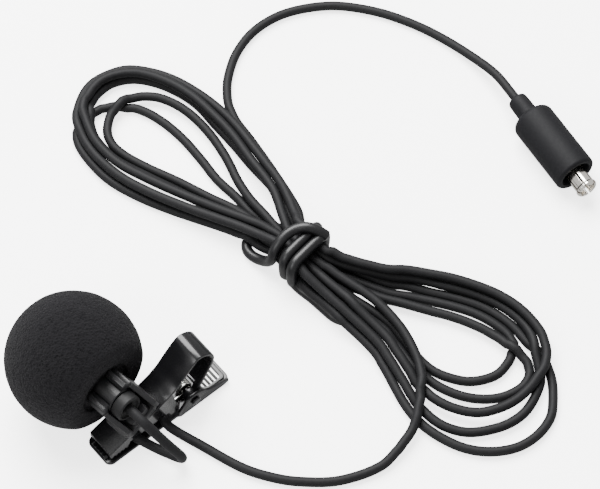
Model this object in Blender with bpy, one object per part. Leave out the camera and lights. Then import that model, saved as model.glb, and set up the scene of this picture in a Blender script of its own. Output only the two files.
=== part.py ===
"""Lavalier microphone on its tie clip, with its cable tied in a hank and a small screw-on style plug.

Lengths are in millimetres and are scaled to metres when an object is made.
Working frame: x runs from the clip's jaw to its tail, y from the clip to the windscreen, z up.
The clip's lower plate, the cable and the plug all lie on z = 0.
"""

import math

import bmesh
import bpy
from mathutils import Matrix, Vector

MM = 0.001

# Clip, lower plate
PLATE_LENGTH = 33.8
PLATE_THICKNESS = 0.9
JAW_HALF_WIDTH = 4.1
TAIL_HALF_WIDTH = 4.5
EAR_INSIDE = 3.85
PIN_X = 23.8
PIN_Z = 3.0
PIN_RADIUS = 0.75
PIN_HEAD_OUTSIDE = 5.15

# Clip, lever
LEVER_HALF_WIDTH = 3.65
LEVER_THICKNESS = 0.8
LEVER_FRONT = (1.0, 4.3)
LEVER_SLOPE = math.radians(21.5)
FLANGE_THICKNESS = 0.6
KNUCKLE_INNER = 1.05
KNUCKLE_OUTER = 1.75
KNUCKLE_INSIDE = 2.05
KNUCKLE_OUTSIDE = 3.5

# Holder, which turns on a rivet standing square on the lever's slope
RIVET_X = 10.7
SWIVEL_AT_REST = math.radians(6.0)
MIC_HEIGHT = 8.1
RING_AHEAD = 2.8
RING_OUTER = 4.8
RING_INNER = 3.5
RING_HALF_LENGTH = 2.5
RING_MOUTH = math.radians(35)
BASE_LENGTH = 10.5
BASE_BACK = -4.0
BASE_FRONT = 3.6
BASE_THICKNESS = 1.8

# Microphone, measured along its axis from the middle of the ring
MIC_RADIUS = 3.2
MIC_BACK = -2.5
MIC_FRONT = 14.0
MIC_WALL = 0.45
BOOT_BACK = -5.4
BOOT_RADIUS = 3.15
STUB_BACK = -7.6

# Windscreen, measured from the middle of the ball
BALL_RADIUS = 15.0
BALL_AHEAD = 12.2
BALL_BACK = -10.2
BALL_RIM = 2.5
SOCKET_RADIUS = 6.3
SOCKET_FLOOR = -9.4
BORE_RADIUS = 3.5
BORE_END = 4.2

# Cable and plug
CORD_RADIUS = 1.0
PLUG_SHOULDER = Vector((128.6, 2.0, 5.0))
PLUG_HEADING = Vector((-0.14, -0.99, 0.0)).normalized()
PLUG_RADIUS = 5.0
PLUG_LENGTH = 18.7
PLUG_NECK = 5.6
COLLET_RADIUS = 2.35
COLLET_REACH = 4.7

GAP = 0.3

# Centreline of the cable from the microphone to the hank
LEAD_ROUTE = [
    (8.25, -5.2, 15.7),
    (8.6, -7.4, 15.0),
    (9.7, -10.4, 12.2),
    (11.0, -12.6, 8.8),
    (12.3, -13.7, 5.2),
    (12.9, -13.3, 2.3),
    (12.3, -11.4, 1.1),
    (11.2, -9.0, 1.0),
    (10.1, -6.6, 1.3),
    (8.9, -4.2, 2.1),
    (8.0, -1.4, 2.25),
    (8.9, 1.9, 2.25),
    (12.1, 3.3, 2.25),
    (15.4, 1.8, 2.25),
    (16.2, -1.5, 2.25),
    (15.6, -4.2, 2.1),
    (16.2, -6.6, 1.3),
    (18.3, -12.8, 1.0),
    (21.6, -22.5, 1.0),
    (25.0, -28.5, 1.0),
    (29.3, -33.6, 1.0),
    (36.0, -38.9, 1.0),
    (45.1, -41.8, 1.0),
    (51.2, -41.3, 1.0),
    (55.6, -39.9, 1.0),
]
# Centreline of the cable from the hank to the plug
TAIL_ROUTE = [
    (78.3, 50.6, 1.0),
    (79.9, 53.3, 1.0),
    (83.6, 57.4, 1.0),
    (89.7, 61.5, 1.0),
    (97.2, 63.6, 1.0),
    (105.8, 62.6, 1.0),
    (115.0, 57.6, 1.0),
    (121.6, 50.3, 1.0),
    (126.0, 42.6, 1.0),
    (129.2, 34.0, 1.1),
    (130.8, 25.0, 2.0),
    (130.9, 16.5, 3.9),
]
# Outline of the hank: distance along it, left and right edges, underside and top
HANK_ROWS = [
    (77.6, 57.0, 62.5, 0.9, 2.6),
    (75.6, 53.4, 66.6, 0.2, 4.0),
    (71.0, 48.6, 70.9, 0.1, 4.6),
    (64.0, 44.6, 74.4, 0.1, 4.6),
    (55.0, 42.7, 76.5, 0.1, 4.6),
    (46.0, 44.4, 76.9, 0.1, 4.6),
    (36.0, 49.4, 75.2, 0.1, 4.8),
    (26.0, 55.0, 73.2, 0.2, 6.2),
    (18.5, 58.9, 71.2, 1.0, 7.8),
    (13.2, 60.4, 68.8, 2.4, 8.4),
    (3.8, 61.0, 69.2, 2.4, 8.4),
    (-3.5, 64.2, 74.4, 1.0, 7.6),
    (-11.0, 67.3, 81.0, 0.2, 6.0),
    (-20.0, 67.8, 88.4, 0.1, 4.8),
    (-29.0, 64.6, 93.4, 0.1, 4.6),
    (-37.0, 60.9, 95.0, 0.1, 4.6),
    (-44.0, 58.4, 93.4, 0.1, 4.6),
    (-51.0, 60.6, 88.4, 0.1, 4.6),
    (-56.6, 65.6, 83.8, 0.2, 4.0),
    (-59.6, 71.2, 79.2, 0.9, 2.6),
]
TIE_CENTRE = Vector((64.8, 8.5, 5.4))
TIE_HALF_WIDTH = 5.8
TIE_HALF_HEIGHT = 4.35
TIE_TURNS = 3
TIE_PITCH = 2.4


def holder_frame():
    """Frame of the holder: x across the microphone, y along it to the front, z square to the lever."""
    along = Vector((math.cos(LEVER_SLOPE), 0, math.sin(LEVER_SLOPE)))
    square = Vector((-math.sin(LEVER_SLOPE), 0, math.cos(LEVER_SLOPE)))
    across = Vector((0, 1, 0))
    ahead = across * math.cos(SWIVEL_AT_REST) - along * math.sin(SWIVEL_AT_REST)
    side = along * math.cos(SWIVEL_AT_REST) + across * math.sin(SWIVEL_AT_REST)
    rise = math.tan(LEVER_SLOPE) * (RIVET_X - LEVER_FRONT[0])
    foot = Vector((RIVET_X, 0, LEVER_FRONT[1] + rise))
    return frame(foot, side, ahead, square)


def frame(origin, x_axis, y_axis, z_axis):
    rows = Matrix((x_axis, y_axis, z_axis)).transposed().to_4x4()
    rows.translation = origin
    return rows


def column(place, index):
    return place.col[index].to_3d()


def turned_frame(origin, heading):
    """Frame whose z axis is the heading, for pieces turned on a lathe."""
    spare = Vector((0, 0, 1)) if abs(heading.z) < 0.9 else Vector((1, 0, 0))
    x_axis = spare.cross(heading).normalized()
    return frame(origin, x_axis, heading.cross(x_axis), heading)


HOLDER = holder_frame()
SIDE = column(HOLDER, 0)
AHEAD = column(HOLDER, 1)
SQUARE = column(HOLDER, 2)
RING_CENTRE = HOLDER @ Vector((0, RING_AHEAD, MIC_HEIGHT))
BALL_CENTRE = RING_CENTRE + AHEAD * BALL_AHEAD
MIC = turned_frame(RING_CENTRE, AHEAD)
BALL = turned_frame(BALL_CENTRE, AHEAD)
PLUG = turned_frame(PLUG_SHOULDER, PLUG_HEADING)
ORIGIN = Vector((
    (BALL_CENTRE.x - BALL_RADIUS + PLATE_LENGTH) / 2,
    (BALL_CENTRE.y + BALL_RADIUS - PIN_HEAD_OUTSIDE) / 2,
    0,
))


def to_world(point):
    return (Vector(point) - ORIGIN) * MM


# ---------------------------------------------------------------- materials and objects

def material(name, colour, roughness, metallic=0.0):
    made = bpy.data.materials.new(name)
    made.use_nodes = True
    shader = made.node_tree.nodes["Principled BSDF"]
    shader.inputs["Base Color"].default_value = (*colour, 1)
    shader.inputs["Roughness"].default_value = roughness
    shader.inputs["Metallic"].default_value = metallic
    made.diffuse_color = (*colour, 1)
    return made


def pivot(name, point, parent=None):
    """An empty on a joint's axis, which carries the pieces that the joint moves."""
    empty = bpy.data.objects.new(name, None)
    bpy.context.scene.collection.objects.link(empty)
    empty.empty_display_size = 0.004
    place = to_world(point)
    if parent:
        empty.parent = parent
        place = place - base_of(parent)
    empty.location = place
    return empty


def base_of(empty):
    """World position of an empty, from the chain of empties above it."""
    place = Vector((0, 0, 0))
    while empty:
        place = place + empty.location
        empty = empty.parent
    return place


def make(name, shape, surface, carrier=None):
    """Turns a bmesh in millimetres into an object in metres, hung on its joint's empty."""
    base = base_of(carrier)
    for vertex in shape.verts:
        vertex.co = to_world(vertex.co) - base
    bmesh.ops.recalc_face_normals(shape, faces=shape.faces)
    data = bpy.data.meshes.new(name)
    shape.to_mesh(data)
    shape.free()
    made = bpy.data.objects.new(name, data)
    bpy.context.scene.collection.objects.link(made)
    made.parent = carrier
    if surface:
        data.materials.append(surface)
        data.shade_smooth()
        data.set_sharp_from_angle(angle=math.radians(32))
    return made


def combine(target, operation, *shapes):
    """Adds helpers to a solid, or cuts them from it, with Boolean modifiers."""
    for shape in shapes:
        count = len(target.modifiers)
        helper = make(f"helper_{target.name}_{count}", shape, None)
        helper.hide_render = True
        helper.display_type = "WIRE"
        step = target.modifiers.new(f"{operation.lower()} {count}", "BOOLEAN")
        step.operation = operation
        step.solver = "EXACT"
        step.object = helper


# ---------------------------------------------------------------- shapes

def rounded(corners, radius, steps=4):
    """Outline of a convex polygon with its corners rounded; radius is one number or one for each corner."""
    radii = radius if isinstance(radius, (list, tuple)) else [radius] * len(corners)
    outline = []
    for index, corner in enumerate(corners):
        here = Vector(corner)
        before = (Vector(corners[index - 1]) - here).normalized()
        after = (Vector(corners[(index + 1) % len(corners)]) - here).normalized()
        size = radii[index]
        if size <= 0:
            outline.append(tuple(here))
            continue
        half = before.angle(after) / 2
        reach = size / math.tan(half)
        centre = here + (before + after).normalized() * (size / math.sin(half))
        start = here + before * reach - centre
        end = here + after * reach - centre
        for step in range(steps + 1):
            way = start.lerp(end, step / steps).normalized() * size
            outline.append(tuple(centre + way))
    return outline


def extruded(outline, low, high, place):
    """A plate with the given outline in the frame's x and y, from low to high along its z."""
    shape = bmesh.new()
    ring = [shape.verts.new((u, v, low)) for u, v in outline]
    face = shape.faces.new(ring)
    risen = bmesh.ops.extrude_face_region(shape, geom=[face])["geom"]
    top = [item for item in risen if isinstance(item, bmesh.types.BMVert)]
    bmesh.ops.translate(shape, verts=top, vec=(0, 0, high - low))
    bmesh.ops.transform(shape, matrix=place, verts=shape.verts)
    return shape


def turned(profile, place, steps=32, ring=True):
    """A solid turned about the frame's z from (radius, height) points; a ring's profile closes on itself."""
    shape = bmesh.new()
    verts = [shape.verts.new((radius, 0, height)) for radius, height in profile]
    pairs = list(zip(verts, verts[1:]))
    if ring:
        pairs.append((verts[-1], verts[0]))
    edges = [shape.edges.new(pair) for pair in pairs]
    bmesh.ops.spin(
        shape,
        geom=verts + edges,
        cent=(0, 0, 0),
        axis=(0, 0, 1),
        angle=math.tau,
        steps=steps,
        use_duplicate=False,
    )
    bmesh.ops.remove_doubles(shape, verts=shape.verts, dist=1e-4)
    bmesh.ops.transform(shape, matrix=place, verts=shape.verts)
    return shape


def rod(radius, low, high, place, steps=24):
    return turned([(0, low), (radius, low), (radius, high), (0, high)], place, steps, ring=False)


def sleeve(inner, outer, low, high, place, steps=32):
    return turned([(inner, low), (outer, low), (outer, high), (inner, high)], place, steps)


def box(low, high, place=Matrix.Identity(4)):
    outline = [(low[0], low[1]), (high[0], low[1]), (high[0], high[1]), (low[0], high[1])]
    return extruded(outline, low[2], high[2], place)


def smooth_route(points, spacing):
    """Points at an even spacing along a smooth curve through the given ones."""
    points = [Vector(point) for point in points]
    padded = [2 * points[0] - points[1], *points, 2 * points[-1] - points[-2]]
    dense = []
    for a, b, c, d in zip(padded, padded[1:], padded[2:], padded[3:]):
        for step in range(12):
            t = step / 12
            dense.append(
                b
                + (c - a) * (t / 2)
                + (2 * a - 5 * b + 4 * c - d) * (t * t / 2)
                + (3 * b - a - 3 * c + d) * (t * t * t / 2)
            )
    dense.append(points[-1])
    lengths = [0.0]
    for a, b in zip(dense, dense[1:]):
        lengths.append(lengths[-1] + (b - a).length)
    count = max(2, round(lengths[-1] / spacing))
    found = []
    index = 0
    for number in range(count + 1):
        want = lengths[-1] * number / count
        while index < len(dense) - 2 and lengths[index + 1] < want:
            index += 1
        share = (want - lengths[index]) / (lengths[index + 1] - lengths[index])
        found.append(dense[index].lerp(dense[index + 1], min(share, 1)))
    return found


def tube(name, route, radius, surface, carrier=None, fineness=2):
    """A round wire or cord along the route, with filled ends."""
    base = base_of(carrier)
    data = bpy.data.curves.new(name, "CURVE")
    data.dimensions = "3D"
    data.bevel_depth = radius * MM
    data.bevel_resolution = fineness
    data.use_fill_caps = True
    spline = data.splines.new("POLY")
    spline.points.add(len(route) - 1)
    for point, place in zip(spline.points, route):
        point.co = (*(to_world(place) - base), 1)
    data.materials.append(surface)
    made = bpy.data.objects.new(name, data)
    bpy.context.scene.collection.objects.link(made)
    made.parent = carrier
    return made


# ---------------------------------------------------------------- clip

UPRIGHT = Matrix.Identity(4)
PROFILE = frame(Vector((0, 0, 0)), Vector((1, 0, 0)), Vector((0, 0, 1)), Vector((0, -1, 0)))
PIN = frame(Vector((PIN_X, 0, PIN_Z)), Vector((0, 0, 1)), Vector((1, 0, 0)), Vector((0, 1, 0)))


def sawtooth(start, end, pitch, root, tip):
    """Points of a row of teeth, each standing from root to tip."""
    count = round((end - start) / pitch)
    points = []
    for number in range(count):
        points.append((start + pitch * number, root))
        points.append((start + pitch * (number + 0.5), tip))
    points.append((start + pitch * count, root))
    return points


def ear_outline():
    """Side wall of the lower plate: an ear round the pin that runs down to the tail."""
    crown = [
        (PIN_X + 3.3 * math.cos(angle), PIN_Z - 0.2 + 2.6 * math.sin(angle))
        for angle in [math.radians(25 + 13 * step) for step in range(11)]
    ]
    tail = [(19.3, 0.2), (PLATE_LENGTH - 0.6, 0.2), (PLATE_LENGTH - 0.6, 1.5), (30.5, 2.0), (28.0, 2.9)]
    return tail + crown + [(19.3, 2.2)]


def build_lower_plate(surface):
    half = JAW_HALF_WIDTH
    tail = TAIL_HALF_WIDTH
    outline = rounded(
        [(0, -half), (19.0, -half), (19.8, -tail), (PLATE_LENGTH, -tail),
         (PLATE_LENGTH, tail), (19.8, tail), (19.0, half), (0, half)],
        [1.6, 0, 0, 1.8, 1.8, 0, 0, 1.6],
    )
    plate = make("clip_lower_plate", extruded(outline, 0, PLATE_THICKNESS, UPRIGHT), surface)
    walls = [
        extruded(ear_outline(), low, high, PROFILE)
        for low, high in ((-tail + 0.02, -EAR_INSIDE), (EAR_INSIDE, tail - 0.02))
    ]
    lip_teeth = [(-2.5, 0.5), (2.5, 0.5), *reversed(sawtooth(-2.5, 2.5, 1.0, 1.4, 2.0))]
    across = frame(Vector((0, 0, 0)), Vector((0, 1, 0)), Vector((0, 0, 1)), Vector((1, 0, 0)))
    lip = extruded(lip_teeth, 0.3, 1.1, across)
    rim = extruded(rounded([(26.7, -3.6), (33.1, -3.6), (33.1, 3.6), (26.7, 3.6)], 1.0), 0.5, 1.4, UPRIGHT)
    combine(plate, "UNION", *walls, lip, rim)
    window = extruded(rounded([(27.5, -2.9), (32.5, -2.9), (32.5, 2.9), (27.5, 2.9)], 0.5), 0.92, 2, UPRIGHT)
    slots = [box((27.75 + 0.95 * n, -2.7, -1), (28.3 + 0.95 * n, 2.7, 2)) for n in range(5)]
    pin_hole = rod(PIN_RADIUS + GAP, -6, 6, PIN)
    combine(plate, "DIFFERENCE", window, *slots, pin_hole)
    return plate


def build_pin(surface):
    head_in = TAIL_HALF_WIDTH + GAP
    head_out = PIN_HEAD_OUTSIDE
    profile = [
        (0, -head_out), (0.9, -head_out), (1.2, -head_in - 0.12), (1.2, -head_in), (PIN_RADIUS, -head_in),
        (PIN_RADIUS, head_in), (1.2, head_in), (1.2, head_in + 0.12), (0.9, head_out), (0, head_out),
    ]
    return make("pivot_pin", turned(profile, PIN, 24, ring=False), surface)


def lever_centreline():
    """Outer face of the lever's strip, from the jaw up its slope and round the thumb loop to the pin."""
    slope = math.tan(LEVER_SLOPE)
    start_x, start_z = LEVER_FRONT
    straight = [(x, start_z + slope * (x - start_x)) for x in (start_x, 4.0, 8.0, 12.0, 15.0, 17.0)]
    loop = [
        (18.4, 11.5), (19.9, 12.6), (21.4, 14.3), (22.9, 15.9), (24.3, 17.3), (25.5, 18.2), (26.7, 18.4),
        (28.0, 17.9), (29.1, 17.0), (29.9, 15.8), (30.3, 14.4), (30.2, 12.9), (29.6, 11.3),
        (28.6, 9.6), (27.5, 7.8), (26.4, 6.0), (25.35, 4.1),
    ]
    points = [(x, 0, z) for x, z in straight + loop]
    return smooth_route(points, 0.95)


def strip_outline():
    """Closed outline of the lever's strip: its outer face and the same face moved in by its thickness."""
    outer = lever_centreline()
    inner = []
    for index, point in enumerate(outer):
        before = outer[max(index - 1, 0)]
        after = outer[min(index + 1, len(outer) - 1)]
        way = (after - before).normalized()
        inner.append(point + Vector((way.z, 0, -way.x)) * LEVER_THICKNESS)
    return [(point.x, point.z) for point in outer + inner[::-1]]


def flange_outline():
    """Side flange under the lever: teeth at the jaw, a straight edge over the cable, a lobe at the back."""
    teeth = sawtooth(1.0, 6.0, 1.0, 2.6, 1.8)
    lobe = [(16.6, 3.9), (17.3, 3.2), (17.7, 2.2), (18.4, 1.6), (19.2, 1.7), (19.7, 2.5), (19.6, 4.6), (18.9, 9.0)]
    top = [(18.5, 11.2), (17.0, 10.3), (12.0, 8.3), (6.0, 5.9), (1.1, 3.9)]
    return teeth + [(6.5, 3.8)] + lobe + top


def build_lever(surface, carrier):
    half = LEVER_HALF_WIDTH
    lever = make("clip_lever", extruded(strip_outline(), -half, half, PROFILE), surface, carrier)
    outline = flange_outline()
    flanges = [
        extruded(outline, -half + 0.02, -half + FLANGE_THICKNESS, PROFILE),
        extruded(outline, half - FLANGE_THICKNESS, half - 0.02, PROFILE),
    ]
    lip_teeth = [(-3.5, 3.9), *sawtooth(-3.5, 3.5, 1.0, 2.9, 2.4), (3.5, 3.9)]
    across = frame(Vector((0, 0, 0)), Vector((0, 1, 0)), Vector((0, 0, 1)), Vector((1, 0, 0)))
    lip = extruded(lip_teeth, 1.05, 1.75, across)
    knuckles = [
        sleeve(KNUCKLE_INNER, KNUCKLE_OUTER, low, high, PIN)
        for low, high in ((-KNUCKLE_OUTSIDE, -KNUCKLE_INSIDE), (KNUCKLE_INSIDE, KNUCKLE_OUTSIDE))
    ]
    spring_gap = box((22.0, -KNUCKLE_INSIDE, 1.0), (28.0, KNUCKLE_INSIDE, 6.4))
    rivet_hole = rod(1.25, -3, 3, HOLDER)
    combine(lever, "UNION", *flanges, lip)
    combine(lever, "DIFFERENCE", spring_gap, rivet_hole)
    combine(lever, "UNION", *knuckles)
    return lever


def build_spring(surface, carrier):
    """Torsion spring: three turns round the pin, one leg on the lower plate and one behind the loop."""
    radius = 1.45
    turns = 3
    steps = 14
    start = math.radians(-90)
    sweep = math.tau * turns + math.radians(90)
    coil = []
    for step in range(turns * steps + 4):
        share = step / (turns * steps + 3)
        angle = start + sweep * share
        coil.append((
            PIN_X + radius * math.cos(angle),
            -0.95 + 1.9 * share,
            PIN_Z + radius * math.sin(angle),
        ))
    lower_leg = [(20.3, -0.95, PIN_Z - radius), (22.0, -0.95, PIN_Z - radius)]
    upper_leg = [(25.2, 0.95, 4.2), (25.05, 0.95, 5.4), (25.25, 0.95, 6.6), (25.75, 0.95, 7.7)]
    return tube("torsion_spring", lower_leg + coil + upper_leg, 0.3, surface, carrier)


# ---------------------------------------------------------------- holder and swivel

def build_rivet(surface, carrier):
    profile = [(0, -2.4), (1.2, -2.4), (1.75, -2.1), (1.75, -1.75), (0.9, -1.75), (0.9, 2.7), (0.7, 3.0), (0, 3.0)]
    return make("holder_rivet", turned(profile, HOLDER, 24, ring=False), surface, carrier)


def build_washer(surface, carrier):
    return make("rivet_washer", sleeve(1.25, 1.95, -1.45, -1.1, HOLDER, 24), surface, carrier)


def ring_outline():
    """The clip ring in (height, side) with its mouth upward and grip ribs on both arms."""
    ribs = [math.radians(angle) for angle in (45, 62)]
    outer = []
    inner = []
    steps = 56
    for step in range(steps + 1):
        angle = RING_MOUTH + (math.tau - 2 * RING_MOUTH) * step / steps
        folded = min(angle, math.tau - angle)
        bump = sum(max(0.0, 1 - ((folded - rib) / math.radians(6)) ** 2) for rib in ribs)
        reach = RING_OUTER + 0.42 * bump
        outer.append((MIC_HEIGHT + reach * math.cos(angle), reach * math.sin(angle)))
        inner.append((MIC_HEIGHT + RING_INNER * math.cos(angle), RING_INNER * math.sin(angle)))
    return outer + inner[::-1]


def build_holder(surface, carrier):
    """Base on the lever, neck, side gussets and the open ring that grips the microphone."""
    shift = -0.6
    half = BASE_LENGTH / 2
    corners = [(shift - half, BASE_BACK), (shift + half, BASE_BACK), (shift + half, BASE_FRONT), (shift - half, BASE_FRONT)]
    base = extruded(rounded(corners, 1.8), GAP, GAP + BASE_THICKNESS, HOLDER)
    holder = make("mic_holder", base, surface, carrier)
    ringed = frame(HOLDER.translation, SQUARE, SIDE, AHEAD)
    sided = frame(HOLDER.translation, AHEAD, SQUARE, SIDE)
    back = RING_AHEAD - RING_HALF_LENGTH
    front = RING_AHEAD + RING_HALF_LENGTH
    ring = extruded(ring_outline(), back, front, ringed)
    neck_floor = MIC_HEIGHT - RING_OUTER + 0.7
    neck = extruded(
        rounded([(-2.6, -3.6), (2.6, -3.6), (2.6, 3.9), (-2.6, 3.9)], 0.8), 1.5, neck_floor, HOLDER
    )
    slope = rounded(
        [(-4.1, 1.2), (3.8, 1.2), (3.8, 5.6), (1.6, MIC_HEIGHT + 1.4), (0.1, MIC_HEIGHT + 1.6), (-4.1, 3.4)],
        [0, 0, 0.6, 0.6, 0.6, 1.2],
    )
    gussets = [extruded(slope, low, high, sided) for low, high in ((-4.7, -3.55), (3.55, 4.7))]
    combine(holder, "UNION", neck, ring, *gussets)
    rivet_bore = rod(1.25, -1, 3.35, HOLDER)
    combine(holder, "DIFFERENCE", rivet_bore)
    return holder


# ---------------------------------------------------------------- microphone

def build_housing(surface, carrier):
    inner = MIC_RADIUS - MIC_WALL
    profile = [
        (1.6, MIC_BACK), (MIC_RADIUS - 0.2, MIC_BACK), (MIC_RADIUS, MIC_BACK + 0.2), (MIC_RADIUS, MIC_FRONT),
        (inner, MIC_FRONT), (inner, MIC_BACK + 0.8), (1.6, MIC_BACK + 0.8),
    ]
    return make("mic_housing", turned(profile, MIC, 40), surface, carrier)


def build_grille(surface, carrier):
    low = MIC_FRONT + GAP
    profile = [(0, low - 0.7), (2.4, low - 0.7), (2.4, low), (MIC_RADIUS, low), (MIC_RADIUS, low + 0.8),
               (MIC_RADIUS - 0.5, low + 1.3), (0, low + 1.3)]
    cap = make("mic_end_grille", turned(profile, MIC, 40, ring=False), surface, carrier)
    places = [(0.0, 0.0)] + [
        (1.5 * math.cos(math.radians(60 * n)), 1.5 * math.sin(math.radians(60 * n))) for n in range(6)
    ]
    holes = [rod(0.4, low - 2, low + 3, MIC @ Matrix.Translation((u, v, 0)), 12) for u, v in places]
    combine(cap, "DIFFERENCE", *holes)
    return cap


def build_microphone_inside(soft, metal, board, rubber, carrier):
    """What the housing holds, front to back: felt, capsule, gasket, board, cable anchor, entry core."""
    felt = make("dust_felt", rod(2.35, 12.8, 13.25, MIC, 28), soft, carrier)
    can = [(0, 9.4), (2.1, 9.4), (2.35, 9.6), (2.35, 12.2), (2.15, 12.45), (0, 12.45)]
    capsule = make("electret_capsule", turned(can, MIC, 32, ring=False), metal, carrier)
    sound_hole = rod(0.5, 11.9, 14, MIC, 16)
    combine(capsule, "DIFFERENCE", sound_hole)
    gasket = make("capsule_gasket", sleeve(1.5, 2.4, 8.5, 9.1, MIC, 28), rubber, carrier)
    disc = make("capsule_board", rod(2.35, 7.5, 8.2, MIC, 28), board, carrier)
    wire_holes = [rod(0.3, 7, 9, MIC @ Matrix.Translation((x, 1.1, 0)), 12) for x in (-0.8, 0.8)]
    combine(disc, "DIFFERENCE", *wire_holes)
    anchor = make("cable_anchor", sleeve(1.3, 1.9, 0.9, 2.9, MIC, 24), metal, carrier)
    core = make("cable_entry_core", sleeve(1.3, 2.4, -1.4, 0.6, MIC, 24), rubber, carrier)
    return felt, capsule, gasket, disc, anchor, core


def build_boot(surface, carrier):
    front = MIC_BACK - GAP
    profile = [(1.5, BOOT_BACK), (2.1, BOOT_BACK), (2.6, BOOT_BACK + 0.15), (2.95, BOOT_BACK + 0.5),
               (BOOT_RADIUS, BOOT_BACK + 1.0), (BOOT_RADIUS, front), (1.5, front)]
    return make("rear_boot", turned(profile, MIC, 36), surface, carrier)


def build_windscreen(surface, carrier):
    """Foam ball, cut flat behind with a rounded rim, a socket for the ring and a bore for the microphone."""
    rim_height = BALL_BACK + BALL_RIM
    rim_middle = math.sqrt((BALL_RADIUS - BALL_RIM) ** 2 - rim_height**2)
    turn = math.atan2(-rim_height, rim_middle)
    ball = []
    for step in range(19):
        angle = math.radians(90) + (-turn - math.radians(90)) * step / 18
        ball.append((max(BALL_RADIUS * math.cos(angle), 0), BALL_RADIUS * math.sin(angle)))
    rim = []
    for step in range(1, 6):
        angle = -turn + (turn - math.radians(90)) * step / 5
        rim.append((rim_middle + BALL_RIM * math.cos(angle), rim_height + BALL_RIM * math.sin(angle)))
    inside = [(SOCKET_RADIUS, BALL_BACK), (SOCKET_RADIUS, SOCKET_FLOOR), (BORE_RADIUS, SOCKET_FLOOR),
              (BORE_RADIUS, BORE_END - 0.8), (BORE_RADIUS - 0.8, BORE_END), (0, BORE_END)]
    ball[0] = (0, BALL_RADIUS)
    return make("windscreen", turned(ball + rim + inside, BALL, 48, ring=False), surface, carrier)


# ---------------------------------------------------------------- cable and plug

def build_cord_stub(surface, carrier):
    ends = [RING_CENTRE + AHEAD * reach for reach in (3.2, 0.5, -2.5, -5.0, STUB_BACK)]
    return tube("cable_stub", ends, CORD_RADIUS, surface, carrier)


def plug_point(along):
    return PLUG_SHOULDER + PLUG_HEADING * along


def build_cords(surface):
    tube("cable_lead", smooth_route(LEAD_ROUTE, 3.2), CORD_RADIUS, surface)
    inside = [plug_point(along) for along in (-PLUG_NECK - 2.0, -PLUG_NECK, -2.0, 3.0, 6.5)]
    tube("cable_plug_tail", smooth_route(TAIL_ROUTE + inside, 4.2), CORD_RADIUS, surface)


def build_hank(surface):
    """Outline of the tied hank: two flat lobes, each with its eye, and a raised waist between them."""
    shape = bmesh.new()
    rings = []
    for along, left, right, low, high in HANK_ROWS:
        side = min(1.2, (high - low) / 3)
        section = [(left, low + side), (left + side, low), (right - side, low), (right, low + side),
                   (right, high - side), (right - side, high), (left + side, high), (left, high - side)]
        rings.append([shape.verts.new((x, along, z)) for x, z in section])
    for first, second in zip(rings, rings[1:]):
        for index in range(8):
            after = (index + 1) % 8
            shape.faces.new((first[index], first[after], second[after], second[index]))
    shape.faces.new(rings[0])
    shape.faces.new(rings[-1])
    hank = make("cable_hank", shape, surface)
    left_eye = rounded([(53.0, 60.5), (54.2, 50.5), (58.4, 39.0), (61.2, 41.0), (61.6, 53.0), (58.2, 61.6)], 1.0)
    right_eye = rounded([(73.2, -17.0), (78.6, -23.5), (81.8, -31.0), (82.6, -37.6), (77.0, -36.8), (73.0, -31.0)], 1.0)
    combine(hank, "DIFFERENCE", extruded(left_eye, -1, 9, UPRIGHT), extruded(right_eye, -1, 9, UPRIGHT))
    return hank


def squared(value):
    """Pushes a sine or cosine outward, which turns an ellipse into a rounded oblong."""
    return math.copysign(abs(value) ** 0.72, value)


def build_tie(surface):
    """A length of cord wound three times round the waist of the hank."""
    steps = 14 * TIE_TURNS
    route = []
    for step in range(steps + 1):
        angle = math.tau * TIE_TURNS * step / steps + math.radians(20)
        route.append((
            TIE_CENTRE.x + TIE_HALF_WIDTH * squared(math.cos(angle)),
            TIE_CENTRE.y + TIE_PITCH * (TIE_TURNS * step / steps - TIE_TURNS / 2),
            TIE_CENTRE.z + TIE_HALF_HEIGHT * squared(math.sin(angle)),
        ))
    return tube("cable_tie", route, CORD_RADIUS, surface)


def build_plug(barrel_skin, metal, pale, bright):
    end = PLUG_LENGTH
    outer = PLUG_RADIUS
    shoulder = [(outer - 1.8 + 1.8 * math.sin(a), 1.8 - 1.8 * math.cos(a)) for a in
                [math.radians(15 * n) for n in range(7)]]
    shell = [(1.6, 0), *shoulder, (outer, end - 0.5), (outer - 0.15, end - 0.15), (outer - 0.5, end),
             (3.8, end), (3.6, end - 0.2), (3.6, end - 4.5), (2.8, end - 4.7), (2.8, 3.0), (1.6, 3.0)]
    make("plug_barrel", turned(shell, PLUG, 44), barrel_skin)
    neck = [(1.3, -PLUG_NECK), (1.9, -PLUG_NECK), (2.25, -PLUG_NECK + 0.3), (2.4, -PLUG_NECK + 1.0),
            (2.4, -GAP), (1.3, -GAP)]
    make("plug_strain_relief", turned(neck, PLUG, 32), barrel_skin)
    tip = end + COLLET_REACH
    radius = COLLET_RADIUS
    collet = [(1.75, 10.0), (radius, 10.0), (radius, tip - 1.1), (radius + 0.2, tip - 0.8), (radius + 0.2, tip - 0.4),
              (radius - 0.15, tip), (1.85, tip), (1.75, tip - 0.2)]
    sleeve_object = make("plug_contact_sleeve", turned(collet, PLUG, 40), bright)
    for number in range(2):
        turn = PLUG @ Matrix.Rotation(math.radians(45 + 90 * number), 4, "Z")
        combine(sleeve_object, "DIFFERENCE", box((-4, -0.2, end - 1.5), (4, 0.2, tip + 1), turn))
    make("plug_insulator", sleeve(0.8, 1.4, 9.0, end + 0.5, PLUG, 24), pale)
    pin = [(0, 8.0), (0.5, 8.0), (0.5, end + 2.6), (0.2, end + 3.1), (0, end + 3.1)]
    make("plug_centre_contact", turned(pin, PLUG, 20, ring=False), bright)
    make("plug_crimp_ferrule", sleeve(1.3, 2.2, 3.4, 8.4, PLUG, 24), metal)


# ---------------------------------------------------------------- assembly

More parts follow.
